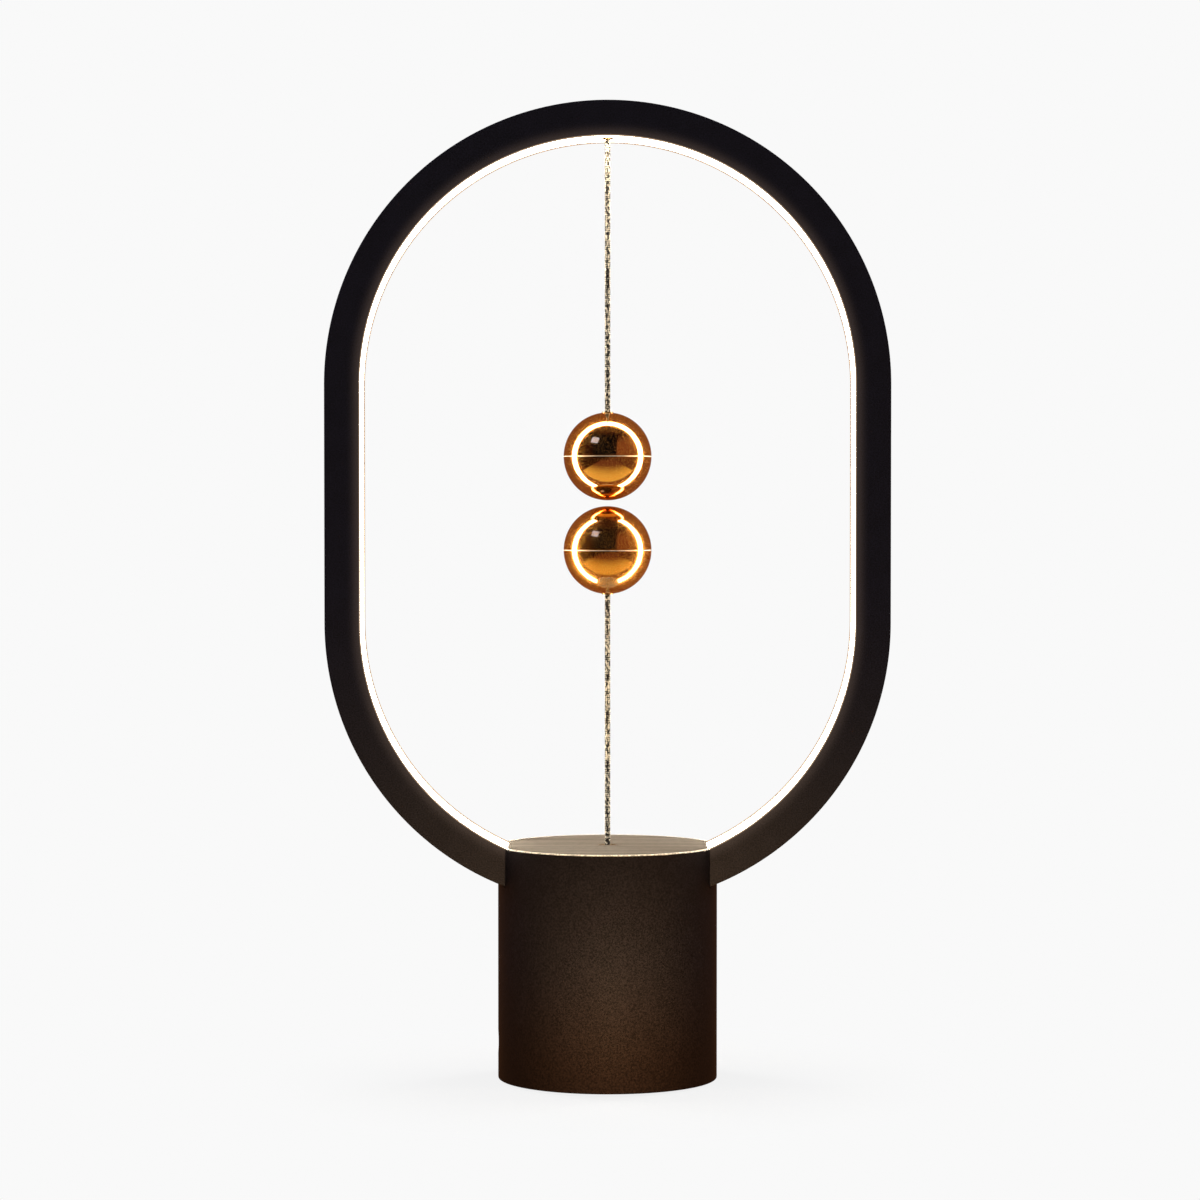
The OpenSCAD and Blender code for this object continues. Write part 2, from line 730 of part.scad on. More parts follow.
module frame_screws() {
    length = arch_z(frame_r, leg_screw_x) - saddle_z + leg_boss_h - 4;
    color("#c9ccd1") for (x = [-1, 1], y = [-1, 1])
        translate([x * leg_screw_x, y * leg_screw_y, saddle_z]) screw(length);
}

module saddle_screws() {
    color("#c9ccd1") at_columns() translate([0, 0, saddle_top]) mirror([0, 0, 1])
        screw(saddle_t + column_bore - 1);
}

module slider_guide() {
    color("#e9e4d6") difference() {
        union() {
            translate([0, 0, guide_bottom])
                cylinder(h = saddle_top + guide_rise - guide_bottom, r = guide_out_r);
            translate([0, 0, saddle_top]) cylinder(h = guide_flange_t, r = guide_flange_r);
        }
        translate([0, 0, guide_bottom - 1])
            cylinder(h = saddle_top + guide_rise - guide_bottom + 2, r = guide_in_r);
    }
}

module pull_slider() {
    color("#7f8389") difference() {
        union() {
            translate([0, 0, flange_top]) cylinder(h = slider_top - flange_top, r = slider_r);
            translate([0, 0, flange_top - flange_t]) cylinder(h = flange_t, r = flange_r);
        }
        translate([0, 0, tail_bottom]) cylinder(h = tail_socket + 1, r = cord_r + pin_gap);
    }
}

module cord_tail() {
    color("#3a3530") translate([0, 0, tail_bottom]) cylinder(h = tail_top - tail_bottom, r = cord_r);
}

// Return spring: a wire on a helix between the slider's flange and the guide
spring_low = flange_top + spring_wire / 2 + eps;
spring_high = guide_bottom - spring_wire / 2 - eps;
spring_route = [
    for (i = [0 : 10 * spring_turns]) let (a = 36 * i)
        [spring_r * cos(a), spring_r * sin(a),
         spring_low + (spring_high - spring_low) * i / (10 * spring_turns)]
];
module return_spring() {
    color("#b8bcc2") tube(spring_route, spring_wire, 6, [0, 0, 1]);
}

module switch_body() {
    color("#26282c") difference() {
        union() {
            translate([switch_x, -switch_half_w, switch_z]) cube([switch_len, switch_w, switch_h]);
            for (y = [-switch_half_w, switch_half_w - ear_t])
                translate([lever_pivot_x - ear_half_x, y, lever_pivot_z - ear_drop])
                    cube([2 * ear_half_x, ear_t, switch_z - lever_pivot_z + ear_drop + eps]);
        }
        translate([lever_pivot_x, switch_w, lever_pivot_z]) rotate([90, 0, 0])
            cylinder(h = 2 * switch_w, r = lever_pin_r + pin_gap, $fn = 48);
        translate([plunger_x, 0, switch_z - 1])
            cylinder(h = plunger_len + 1, r = plunger_r + run_gap, $fn = 48);
        for (at = switch_screw_at) translate([at[0], switch_w, at[1]]) rotate([90, 0, 0])
            cylinder(h = 2 * switch_w, r = switch_screw_r + pin_gap, $fn = 48);
    }
}

module switch_plunger() {
    color("#c23b2e") translate([plunger_x, 0, plunger_tip_z])
        cylinder(h = plunger_len, r = plunger_r, $fn = 48);
}

// The lever hangs from its pin and slopes down to the slider's flange
module switch_lever() {
    pin_half = switch_half_w - 0.1;
    color("#c9ccd1") union() {
        translate([lever_pivot_x, pin_half, lever_pivot_z]) rotate([90, 0, 0])
            cylinder(h = 2 * pin_half, r = lever_pin_r, $fn = 48);
        translate([lever_pivot_x, 0, lever_pivot_z]) rotate([0, -lever_angle, 0])
            translate([-lever_reach, -lever_w / 2, -lever_t / 2]) cube([lever_reach, lever_w, lever_t]);
    }
}

module switch_screws() {
    color("#c9ccd1") for (at = switch_screw_at) translate([at[0], -switch_half_w, at[1]])
        rotate([-90, 0, 0]) {
            cylinder(h = switch_w + tab_t - 0.5, r = switch_screw_r, $fn = 48);
            translate([0, 0, -0.8]) cylinder(h = 0.8, r = 1.7, $fn = 48);
        }
}

module main_board() {
    color("#2f6b3f") union() {
        difference() {
            translate([0, 0, board_z]) union() {
                cylinder(h = board_t, r = board_r);
                translate([tongue_x, -tongue_half_y, 0]) cube([-tongue_x, 2 * tongue_half_y, board_t]);
            }
            for (a = post_angles) rotate([0, 0, a]) translate([post_at, 0, board_z - 1])
                cylinder(h = board_t + 2, r = screw_free_r);
        }
        // coil, storage can, the two lead sockets and the driver chip
        translate([coil_at[0], coil_at[1], board_top]) cylinder(h = coil_h, r = coil_r);
        translate([can_at[0], can_at[1], board_top]) cylinder(h = can_h, r = can_r);
        for (side = [-1, 1]) translate([socket_at[0], side * socket_at[1], board_top + socket_h / 2])
            cube([socket_w, socket_w, socket_h], center = true);
        translate([driver_at[0], driver_at[1], board_top + driver_h / 2])
            cube([driver_w, driver_w, driver_h], center = true);
    }
}

module board_screws() {
    color("#c9ccd1") for (a = post_angles) rotate([0, 0, a])
        translate([post_at, 0, board_top]) mirror([0, 0, 1]) screw(board_t + post_bore - 1);
}

module power_inlet() {
    inner_w = inlet_w - 2 * inlet_skin;
    inner_h = inlet_h - 2 * inlet_skin;
    color("#c9ccd1") translate([inlet_front_x, 0, inlet_z]) union() {
        difference() {
            translate([0, -inlet_w / 2, -inlet_h / 2]) cube([inlet_len, inlet_w, inlet_h]);
            translate([-1, -inner_w / 2, -inner_h / 2]) cube([inlet_len, inner_w, inner_h]);
        }
        translate([0.6, -inner_w / 2 + 1.2, 0]) cube([inlet_len - 1, inner_w - 2.4, 0.6]);
    }
}

module inlet_bezel() {
    color("#131214") difference() {
        intersection() {
            translate([inlet_front_x, 0, inlet_z]) rotate([0, 90, 0])
                cylinder(h = bezel_len, r = bezel_r);
            translate([inlet_front_x, -bezel_r, board_top + seat_gap])
                cube([bezel_len, 2 * bezel_r, 2 * bezel_r]);
        }
        translate([inlet_front_x - 1, -inlet_w / 2 - seat_gap, inlet_z - inlet_h])
            cube([bezel_len + 2, inlet_w + 2 * seat_gap, 1.5 * inlet_h + seat_gap]);
    }
}

module ballast_weight() {
    color("#6d7075") difference() {
        translate([0, 0, ballast_z]) cylinder(h = ballast_t, r = ballast_r);
        for (a = post_angles) rotate([0, 0, a]) translate([post_at, 0, ballast_z - 1])
            cylinder(h = ballast_t + 2, r = post_r + slot_gap);
    }
}

module bottom_cover() {
    color("#211b1a") difference() {
        union() {
            translate([0, 0, cover_z]) cylinder(h = cover_t, r = cover_r);
            for (a = post_angles) rotate([0, 0, a]) translate([post_at, 0, cover_top - eps])
                cylinder(h = board_z - cover_top + eps, r = post_r);
        }
        for (a = post_angles) rotate([0, 0, a]) translate([post_at, 0, board_z - post_bore])
            cylinder(h = post_bore + 1, r = screw_hole_r);
        at_columns() translate([0, 0, cover_z - 1]) cylinder(h = cover_t + 2, r = screw_free_r);
        at_columns() translate([0, 0, cover_z - 1])
            cylinder(h = 1 + cover_t - cover_seat_t, r = screw_head_r + slot_gap);
    }
}

module cover_screws() {
    color("#c9ccd1") at_columns() translate([0, 0, cover_top - cover_seat_t])
        screw(cover_seat_t + column_bore - 1);
}

module foot_ring() {
    color("#151414") difference() {
        cylinder(h = foot_t, r = foot_out_r);
        translate([0, 0, -1]) cylinder(h = foot_t + 2, r = foot_in_r);
    }
}

module led_lead() {
    color("#b03a2e") tube(led_lead_route, lead_d);
}

module switch_lead() {
    color("#3b3b40") tube(switch_lead_route, lead_d);
}

frame_front_half();
frame_back_half();
frame_diffuser();
led_strip();
led_chips();
upper_cord_bush();
upper_cord_bead();
upper_cord();
upper_ball_cord_shell();
upper_ball_magnet_shell();
upper_ball_joint_ring();
upper_ball_ferrule();
upper_ball_magnet();
lower_ball_magnet_shell();
lower_ball_cord_shell();
lower_ball_joint_ring();
lower_ball_ferrule();
lower_ball_magnet();
lower_cord();
lower_cord_bead();
cord_eyelet();
top_disc();
base_shell();
frame_saddle();
frame_screws();
saddle_screws();
slider_guide();
pull_slider();
cord_tail();
return_spring();
switch_body();
switch_plunger();
switch_lever();
switch_screws();
main_board();
board_screws();
power_inlet();
inlet_bezel();
ballast_weight();
bottom_cover();
cover_screws();
foot_ring();
led_lead();
switch_lead();
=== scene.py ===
# %% [markdown]
# A magnetic balance lamp: an upright oval frame that glows along its inner edge, on a round base. One
# mirror plated ball hangs from the top of the frame and another is tethered to the base. The rigid parts
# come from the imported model. They are loaded first, and everything that is made here is fitted to them.

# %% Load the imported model
import json
from math import asin, pi, radians

import bmesh
import bpy
import numpy as np
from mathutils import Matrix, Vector


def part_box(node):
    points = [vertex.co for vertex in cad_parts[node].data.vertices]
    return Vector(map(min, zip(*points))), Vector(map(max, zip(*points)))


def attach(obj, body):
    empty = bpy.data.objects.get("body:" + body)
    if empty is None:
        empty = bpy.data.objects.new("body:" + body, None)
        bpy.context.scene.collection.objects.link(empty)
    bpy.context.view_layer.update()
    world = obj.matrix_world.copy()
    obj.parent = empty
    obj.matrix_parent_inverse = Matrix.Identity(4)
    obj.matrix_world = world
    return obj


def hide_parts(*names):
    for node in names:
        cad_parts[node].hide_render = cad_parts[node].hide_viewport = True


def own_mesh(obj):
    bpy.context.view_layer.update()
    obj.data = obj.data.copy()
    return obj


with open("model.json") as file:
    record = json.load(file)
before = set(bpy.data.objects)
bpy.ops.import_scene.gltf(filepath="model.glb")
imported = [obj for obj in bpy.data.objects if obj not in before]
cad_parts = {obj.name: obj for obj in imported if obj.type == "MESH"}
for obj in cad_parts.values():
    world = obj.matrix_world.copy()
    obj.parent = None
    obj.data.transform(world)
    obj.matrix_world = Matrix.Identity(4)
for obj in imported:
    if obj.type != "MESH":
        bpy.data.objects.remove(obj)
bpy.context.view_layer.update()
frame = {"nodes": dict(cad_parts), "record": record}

nodes = frame["nodes"]
print("CAD nodes loaded:", len(nodes))

# %% [markdown]
# The lamp's own sizes are read from the boxes of its nodes, so that the new pieces follow the model.
# Only what a box can't tell, such as the thickness of a wall, is written here. All lengths are in metres.

# %% Sizes read from the model
MM = 0.001

frame_low, frame_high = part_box("frame_front_half")
base_low, base_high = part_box("base_shell")
upper_low, upper_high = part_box("upper_ball_joint_ring")
lower_low, lower_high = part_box("lower_ball_joint_ring")

FRAME_R = frame_high.x
FRAME_HALF_DEPTH = -frame_low.y
FRAME_BAND = 14.5 * MM
FRAME_WALL = 2 * MM
FRAME_STRAIGHT = 97 * MM
UPPER_ARCH_Z = frame_high.z - FRAME_R
LOWER_ARCH_Z = UPPER_ARCH_Z - FRAME_STRAIGHT
BASE_R = base_high.x
BASE_H = base_high.z
BALL_R = 18 * MM
UPPER_BALL_Z = (upper_low.z + upper_high.z) / 2
LOWER_BALL_Z = (lower_low.z + lower_high.z) / 2
print("frame radius %.4f, base radius %.4f, balls at %.4f and %.4f"
      % (FRAME_R, BASE_R, UPPER_BALL_Z, LOWER_BALL_Z))

# %% [markdown]
# The photograph was taken from a little above the middle, with a long lens. The camera stands where the
# two arches, the rim of the base and its lower edge come out as in the picture. It looks at the point of
# the lamp's plane that lies in the middle of the picture, so it needs no shift.

# %% Camera
IMAGE_PX = 1200
FOCAL_PX = 3656.0
SENSOR_MM = 36.0
CAMERA_AT = Vector((-0.0015, -1.5, 0.240))
MIDDLE_AT = Vector((-0.0031, 0.0, 0.1971))

lens = bpy.data.cameras.new("photo_camera")
lens.sensor_width = SENSOR_MM
lens.lens = FOCAL_PX / IMAGE_PX * SENSOR_MM
camera = bpy.data.objects.new("photo_camera", lens)
camera.location = CAMERA_AT
camera.rotation_euler = (MIDDLE_AT - CAMERA_AT).to_track_quat("-Z", "Y").to_euler()
bpy.context.scene.collection.objects.link(camera)
bpy.context.scene.camera = camera
print("lens %.1f mm, camera %.2f m from the lamp" % (lens.lens, (MIDDLE_AT - CAMERA_AT).length))

# %% [markdown]
# Every new piece is a grid of points that numpy works out as a whole. The grid becomes quads between
# neighbouring rows. Where a row closes on itself its last point joins its first. Points that fall
# together, as at the pole of a ball, are merged, and then the faces are turned outwards.

# %% From a grid of points to a piece
MERGE_WITHIN = 0.0005 * MM


def grid_faces(rows, columns, rows_closed, columns_closed):
    """Quads of a grid: point (i, j) with its neighbours (i + 1, j), (i + 1, j + 1) and (i, j + 1)."""
    i, j = np.meshgrid(
        np.arange(rows if rows_closed else rows - 1),
        np.arange(columns if columns_closed else columns - 1),
        indexing="ij",
    )
    i, j = i.ravel(), j.ravel()
    after_i, after_j = (i + 1) % rows, (j + 1) % columns
    return np.stack(
        [i * columns + j, after_i * columns + j, after_i * columns + after_j, i * columns + after_j],
        axis=1,
    )


def piece_from_grid(name, points, rows_closed=False, columns_closed=False, capped=False, sharp=35):
    """A piece whose vertices are the grid's points. Edges that bend more than sharp degrees stay crisp."""
    rows, columns = points.shape[:2]
    faces = grid_faces(rows, columns, rows_closed, columns_closed).tolist()
    if capped:
        faces.append(list(range(columns)))
        faces.append(list(range((rows - 1) * columns, rows * columns)))
    mesh = bpy.data.meshes.new(name)
    mesh.from_pydata(points.reshape(-1, 3).tolist(), [], faces)
    loose = bmesh.new()
    loose.from_mesh(mesh)
    bmesh.ops.remove_doubles(loose, verts=loose.verts, dist=MERGE_WITHIN)
    bmesh.ops.recalc_face_normals(loose, faces=loose.faces)
    loose.to_mesh(mesh)
    loose.free()
    mesh.shade_smooth()
    mesh.set_sharp_from_angle(angle=radians(sharp))
    piece = bpy.data.objects.new(name, mesh)
    bpy.context.scene.collection.objects.link(piece)
    print("%s: %d faces" % (name, len(mesh.polygons)))
    return piece


# %% [markdown]
# Moulded plastic has no knife edges, and a small round at each corner is what catches the light. One
# function rounds the corners of an outline. It also puts a point close to each end of a straight run, so
# that a flat face keeps its own shading right up to the round.

# %% Rounded outlines
LEAD_SHARE = 0.4


def arc(centre, radius, start, end, steps):
    """Points at centre + radius * (cos a, sin a), for angles a from start to end in degrees."""
    a = np.radians(np.linspace(start, end, steps + 1))
    return np.stack([centre[0] + radius * np.cos(a), centre[1] + radius * np.sin(a)], axis=1)


def rounded_outline(corners, rounds, steps=6):
    """A closed outline. Each corner is cut back by its round, and a quadratic curve that is drawn towards
    the corner bridges the gap. One more point leads into the curve and one out of it."""
    corners = np.asarray(corners, float)
    rounds = np.broadcast_to(np.asarray(rounds, float), len(corners))[:, None]
    back = np.roll(corners, 1, axis=0) - corners
    ahead = np.roll(corners, -1, axis=0) - corners
    back /= np.linalg.norm(back, axis=1, keepdims=True)
    ahead /= np.linalg.norm(ahead, axis=1, keepdims=True)
    start, end = corners + back * rounds, corners + ahead * rounds
    t = np.linspace(0, 1, steps + 1)[None, :, None]
    bend = (1 - t) ** 2 * start[:, None] + 2 * t * (1 - t) * corners[:, None] + t**2 * end[:, None]
    lead_in = (start + back * rounds * LEAD_SHARE)[:, None]
    lead_out = (end + ahead * rounds * LEAD_SHARE)[:, None]
    return np.concatenate([lead_in, bend, lead_out], axis=1).reshape(-1, 2)


def revolved(profile, steps, height, flip):
    """Each profile point (r, z) runs round the axis: x = r cos a, y = r sin a, z = height + flip * z."""
    a = np.linspace(0, 2 * pi, steps, endpoint=False)[:, None]
    r, z = profile[None, :, 0], profile[None, :, 1]
    return np.stack([r * np.cos(a), r * np.sin(a), height + flip * z + 0 * a], axis=2)


# %% [markdown]
# The cords are braided from dark and pale yarn. On a cord this thin the braid shows as small pillows in
# a diamond pattern. The surface is a tube whose radius swells by the product of two crossing helices,
# and the sign of that product says which of the two yarns lies on top. It is kept as an attribute, so
# that the colours follow the braid when the cord shortens. The lower end of a cord is darker.

# %% The two cords
CORD_D = 2.3 * MM
CORD_R = CORD_D / 2
BRAID_DEPTH = 0.13 * MM
BRAID_YARNS = 6
BRAID_PITCH = 5.2 * MM
CORD_STEP = 0.16 * MM
CORD_SIDES = 48
DARK_END = 1.5 * MM
CONTRAST = 2
UPPER_CORD_Z = (0.27420, 0.38505)
LOWER_CORD_Z = (0.09595, 0.19940)


def braided_cord(name, z_low, z_high):
    """Radius = cord radius - depth * (1 - sqrt|sin a * sin b|), where a and b run along two helices of
    opposite hand: a, b = yarns * angle +- pi * yarns * height / pitch. The attribute yarn is 0 on dark
    yarn and 1 on pale yarn: 0.5 + contrast * (sin a * sin b - e^(-height / dark end))."""
    rows = int((z_high - z_low) / CORD_STEP)
    height, angle = np.meshgrid(
        np.linspace(z_low, z_high, rows),
        np.linspace(0, 2 * pi, CORD_SIDES, endpoint=False),
        indexing="ij",
    )
    climb = pi * BRAID_YARNS * (height - z_low) / BRAID_PITCH
    weave = np.sin(BRAID_YARNS * angle + climb) * np.sin(BRAID_YARNS * angle - climb)
    radius = CORD_R - BRAID_DEPTH * (1 - np.sqrt(np.abs(weave)))
    points = np.stack([radius * np.cos(angle), radius * np.sin(angle), height], axis=2)
    cord = piece_from_grid(name, points, columns_closed=True, capped=True, sharp=180)
    # Darker towards the lower end of the cord.
    darker_end = np.exp((z_low - height) / DARK_END)
    yarn = cord.data.attributes.new("yarn", "FLOAT", "POINT")
    paleness = np.clip(0.5 + CONTRAST * weave - CONTRAST * darker_end, 0, 1)
    yarn.data.foreach_set("value", paleness.ravel().astype(np.float32))
    return cord


upper_cord = braided_cord("braided_upper_cord", *UPPER_CORD_Z)
lower_cord = braided_cord("braided_lower_cord", *LOWER_CORD_Z)

# %% [markdown]
# Both cords are held straight: the upper one by the weight of its ball and the pull of the magnets, the
# lower one between its ball and the eyelet in the base. They show from end to end, so what shows is
# their whole length. As the lower ball comes down, its cord is pressed together over the eyelet.


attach(upper_cord, "upper_ball")
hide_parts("upper_cord")
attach(lower_cord, "lower_tether")
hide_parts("lower_cord")
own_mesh(lower_cord)

# %% [markdown]
# The frame is moulded in two halves that close on each other round the light strip. A moulding like this
# is one section carried along a path. The path is the oval: two half circles joined by straight sides,
# open at the bottom where the legs end inside the base. The section is a channel with a face, an outer
# wall, soft edges, a fine seam groove and the ledge that the diffuser rests against.

# %% The section of a frame half, carried along the oval
FRAME_EDGE = 0.8 * MM
SEAM_NOTCH = 0.2 * MM
LEDGE_AT = FRAME_BAND - 2.25 * MM
LEDGE_T = 1.2 * MM
LEDGE_W = 1.5 * MM
LEG_HALF_GAP = 27 * MM
SMALL_ROUND = 0.12 * MM
LEG_STEPS, SIDE_STEPS, ARCH_STEPS = 60, 10, 144


def frame_section():
    """Corners as (distance from the arch's centre, depth), each with the round that it gets."""
    outer, inner = FRAME_R, FRAME_R - FRAME_BAND
    channel, ledge = FRAME_R - FRAME_WALL, FRAME_R - LEDGE_AT
    face, back = FRAME_HALF_DEPTH, FRAME_HALF_DEPTH - FRAME_WALL
    corners = [
        (channel, 0), (outer - SEAM_NOTCH, 0), (outer, SEAM_NOTCH), (outer, face), (inner, face),
        (inner, back), (ledge, back), (ledge, back - LEDGE_W), (ledge + LEDGE_T, back - LEDGE_W),
        (ledge + LEDGE_T, back), (channel, back),
    ]
    rounds = [SMALL_ROUND, SMALL_ROUND / 2, SMALL_ROUND / 2, FRAME_EDGE, FRAME_EDGE] + 6 * [SMALL_ROUND]
    return rounded_outline(corners, rounds)


def along_oval(section, side):
    """Section point (r, d) goes to x = r cos a, y = side * d, z = c + r sin a. The angle a turns over
    the arches, and between them the centre c climbs or sinks along the straight sides."""
    leg = 90 - np.degrees(asin(LEG_HALF_GAP / (FRAME_R - FRAME_BAND)))
    low, high = LOWER_ARCH_Z, UPPER_ARCH_Z
    runs = [
        (-leg, 0, low, low, LEG_STEPS),
        (0, 0, low, high, SIDE_STEPS),
        (0, 180, high, high, ARCH_STEPS),
        (180, 180, high, low, SIDE_STEPS),
        (180, 180 + leg, low, low, LEG_STEPS),
    ]
    angle = np.concatenate([np.linspace(a, b, steps + 1) for a, b, _, _, steps in runs])
    centre = np.concatenate([np.linspace(a, b, steps + 1) for _, _, a, b, steps in runs])
    a, c = np.radians(angle)[:, None], centre[:, None]
    r, d = section[None, :, 0], section[None, :, 1]
    return np.stack([r * np.cos(a), side * d + 0 * a, c + r * np.sin(a)], axis=2)


def from_edge(piece):
    """Keeps as an attribute how far each vertex lies from the frame's inner edge: its distance from the
    nearest arch's centre, or from the middle line beside the straight sides, less the inner radius."""
    place = np.empty(3 * len(piece.data.vertices), np.float32)
    piece.data.vertices.foreach_get("co", place)
    x, z = place[0::3], place[2::3]
    rise = z - np.clip(z, LOWER_ARCH_Z, UPPER_ARCH_Z)
    inward = piece.data.attributes.new("inward", "FLOAT", "POINT")
    inward.data.foreach_set("value", np.hypot(x, rise) - (FRAME_R - FRAME_BAND))


frame_halves = []
for name, node, side in (
    ("frame_front_moulding", "frame_front_half", -1),
    ("frame_back_moulding", "frame_back_half", 1),
):
    points = along_oval(frame_section(), side)
    piece = piece_from_grid(name, points, columns_closed=True, capped=True)
    from_edge(piece)
    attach(piece, "root")
    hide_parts(node)
    frame_halves.append(piece)

# %% [markdown]
# Each ball is two plated half shells that meet in a fine seam. A mirror shows every flat spot of the
# mesh under it, so the halves are revolved from a finely stepped arc, and their edges along the seam are
# rounded a little, as plated edges are.

# %% The half shells of the balls
BALL_WALL = 1.5 * MM
SEAM_H = 0.3 * MM
PLATED_EDGE = 0.1 * MM
CORD_HOLE_R = 2.45 * MM
CORD_BORE_R = 1.95 * MM
HOLE_FLOOR = 17.85 * MM
OUTSIDE_STEPS, INSIDE_STEPS, LIP_STEPS, ROUND_STEPS = 90, 36, 6, 160


def ball_arc(radius, start, end, steps):
    """Points (r, z) at radius * (sin t, cos t), for angles t from the pole in degrees."""
    t = np.radians(np.linspace(start, end, steps + 1))
    return np.stack([radius * np.sin(t), radius * np.cos(t)], axis=1)


def half_shell_profile(open_at_pole):
    """The outer arc down to the seam, its rounded edge, and the inner arc back up to the pole or the
    hole, whose floor joins the two arcs. An arc starts or ends where r = ball radius * sin t."""
    inner_r = BALL_R - BALL_WALL
    seam = SEAM_H / 2
    edge = np.degrees(np.arccos((seam + PLATED_EDGE) / BALL_R))
    inner_edge = np.degrees(np.arccos(seam / inner_r))
    hole = np.degrees(asin(CORD_HOLE_R / BALL_R)) if open_at_pole else 0
    bore = np.degrees(asin(CORD_BORE_R / inner_r)) if open_at_pole else 0
    r = BALL_R * np.sin(np.radians(edge))
    lip = arc((r - PLATED_EDGE, seam + PLATED_EDGE), PLATED_EDGE, 0, -90, LIP_STEPS)
    inside = ball_arc(inner_r, inner_edge, bore, INSIDE_STEPS)
    rim = np.array([[CORD_BORE_R, HOLE_FLOOR], [CORD_HOLE_R, HOLE_FLOOR]])
    outside = ball_arc(BALL_R, hole, edge, OUTSIDE_STEPS)
    return np.concatenate([outside, lip, inside] + ([rim] if open_at_pole else []))


def half_shell(name, height, flip, open_at_pole):
    """The profile revolved about the lamp's axis. flip is 1 for a half above the seam, -1 below it."""
    points = revolved(half_shell_profile(open_at_pole), ROUND_STEPS, height, flip)
    return piece_from_grid(name, points, rows_closed=True, columns_closed=open_at_pole)


ball_halves = {
    "upper_ball_cord_shell": half_shell("upper_ball_cord_half", UPPER_BALL_Z, 1, True),
    "upper_ball_magnet_shell": half_shell("upper_ball_magnet_half", UPPER_BALL_Z, -1, False),
    "lower_ball_cord_shell": half_shell("lower_ball_cord_half", LOWER_BALL_Z, -1, True),
    "lower_ball_magnet_shell": half_shell("lower_ball_magnet_half", LOWER_BALL_Z, 1, False),
}
for node, piece in ball_halves.items():
    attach(piece, node[:len("upper_ball")])
    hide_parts(node)

# %% [markdown]
# The power inlet low on the base is a small metal shell with a tongue that carries five contacts. They
# are a few tenths of a millimetre wide. Each is a bar, a rounded section carried along the tongue, and
# the row repeats it at the pitch of the contacts.

# %% The contacts of the power inlet
CONTACTS = 5
CONTACT_PITCH = 0.65 * MM
CONTACT_W = 0.3 * MM
CONTACT_T = 0.08 * MM
CONTACT_ROUND = 0.02 * MM
CONTACT_FROM, CONTACT_TO = 0.8 * MM, 3.6 * MM
TONGUE_RISE = 0.6 * MM


def contact_bar(y):
    """Section point (s, t) goes to (x, y + s, tongue top + t) at the two ends x of the bar."""
    inlet_low, inlet_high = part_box("power_inlet")
    tongue_top = (inlet_low.z + inlet_high.z) / 2 + TONGUE_RISE
    w, t = CONTACT_W / 2, CONTACT_T
    section = rounded_outline([(-w, 0), (w, 0), (w, t), (-w, t)], CONTACT_ROUND, 3)
    ends = np.array([inlet_low.x + CONTACT_FROM, inlet_low.x + CONTACT_TO])
    x, s = np.meshgrid(ends, section[:, 0], indexing="ij")
    rise = np.broadcast_to(section[:, 1], s.shape)
    return np.stack([x, y + s, tongue_top + rise], axis=2)


contacts = []
for place in range(CONTACTS):
    points = contact_bar((place - (CONTACTS - 1) / 2) * CONTACT_PITCH)
    piece = piece_from_grid("inlet_contact_%d" % (place + 1), points, columns_closed=True, capped=True)
    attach(piece, "root")
    contacts.append(piece)

# %% [markdown]
# The finishes are node trees, but a formula is easier to read than a chain of nodes. A Wire stands for
# one output of the tree, and arithmetic on it adds the Math nodes. A Finish is one material. Its node
# method makes any other node: the settings come first and then what goes into its sockets.

# %% Shader trees written as formulas
OBJECT_COORDINATES = 3
ATTRIBUTE_VALUE = 2


class Wire:
    """One output socket. Arithmetic with wires or numbers adds Math nodes."""

    def __init__(self, finish, socket):
        self.finish, self.socket = finish, socket

    def math(self, operation, a, b):
        return self.finish.node("ShaderNodeMath", {"operation": operation}, {0: a, 1: b})

    def __add__(self, other):
        return self.math("ADD", self, other)

    def __rsub__(self, other):
        return self.math("SUBTRACT", other, self)

    def __mul__(self, other):
        return self.math("MULTIPLY", self, other)

    def __pow__(self, other):
        return self.math("POWER", self, other)

    __radd__, __rmul__ = __add__, __mul__


class Tree:
    """A node tree of a material or of the world."""

    A, B = 6, 7
    RESULT = 2

    def __init__(self, owner):
        owner.use_nodes = True
        self.tree = owner.node_tree
        self.tree.nodes.clear()

    def node(self, kind, settings=None, inputs=None, output=0):
        """A node of a kind, with its settings, then the values or wires of its sockets."""
        made = self.tree.nodes.new(kind)
        for name, value in (settings or {}).items():
            setattr(made, name, value)
        for name, value in (inputs or {}).items():
            if isinstance(value, Wire):
                self.tree.links.new(value.socket, made.inputs[name])
            else:
                made.inputs[name].default_value = value
        return Wire(self, made.outputs[output] if made.outputs else None)

    def blend(self, factor, a, b, blend_type="MIX"):
        """The colour a where the factor is 0, and b where it is 1."""
        a, b = (c if isinstance(c, Wire) else (*c, 1.0) for c in (a, b))
        settings = {"data_type": "RGBA", "blend_type": blend_type}
        return self.node("ShaderNodeMix", settings, {0: factor, self.A: a, self.B: b}, self.RESULT)

    def tinted(self, a, b):
        """The product of two colours."""
        return self.blend(1.0, a, b, "MULTIPLY")

    def ease(self, value, start, end):
        """0 where the value is start, 1 where it is end, and a smooth step between."""
        settings = {"interpolation_type": "SMOOTHSTEP"}
        limits = {"Value": value, "From Min": start, "From Max": end}
        return self.node("ShaderNodeMapRange", settings, limits)

    def split(self, vector):
        """The three numbers of a vector."""
        made = self.node("ShaderNodeSeparateXYZ", None, {0: vector})
        return [Wire(self, socket) for socket in made.socket.node.outputs]

    def rays(self):
        """Two wires: 1 on rays from the camera, and 1 on rays from a glossy surface."""
        path = self.node("ShaderNodeLightPath").socket.node
        return [Wire(self, path.outputs[name]) for name in ("Is Camera Ray", "Is Glossy Ray")]


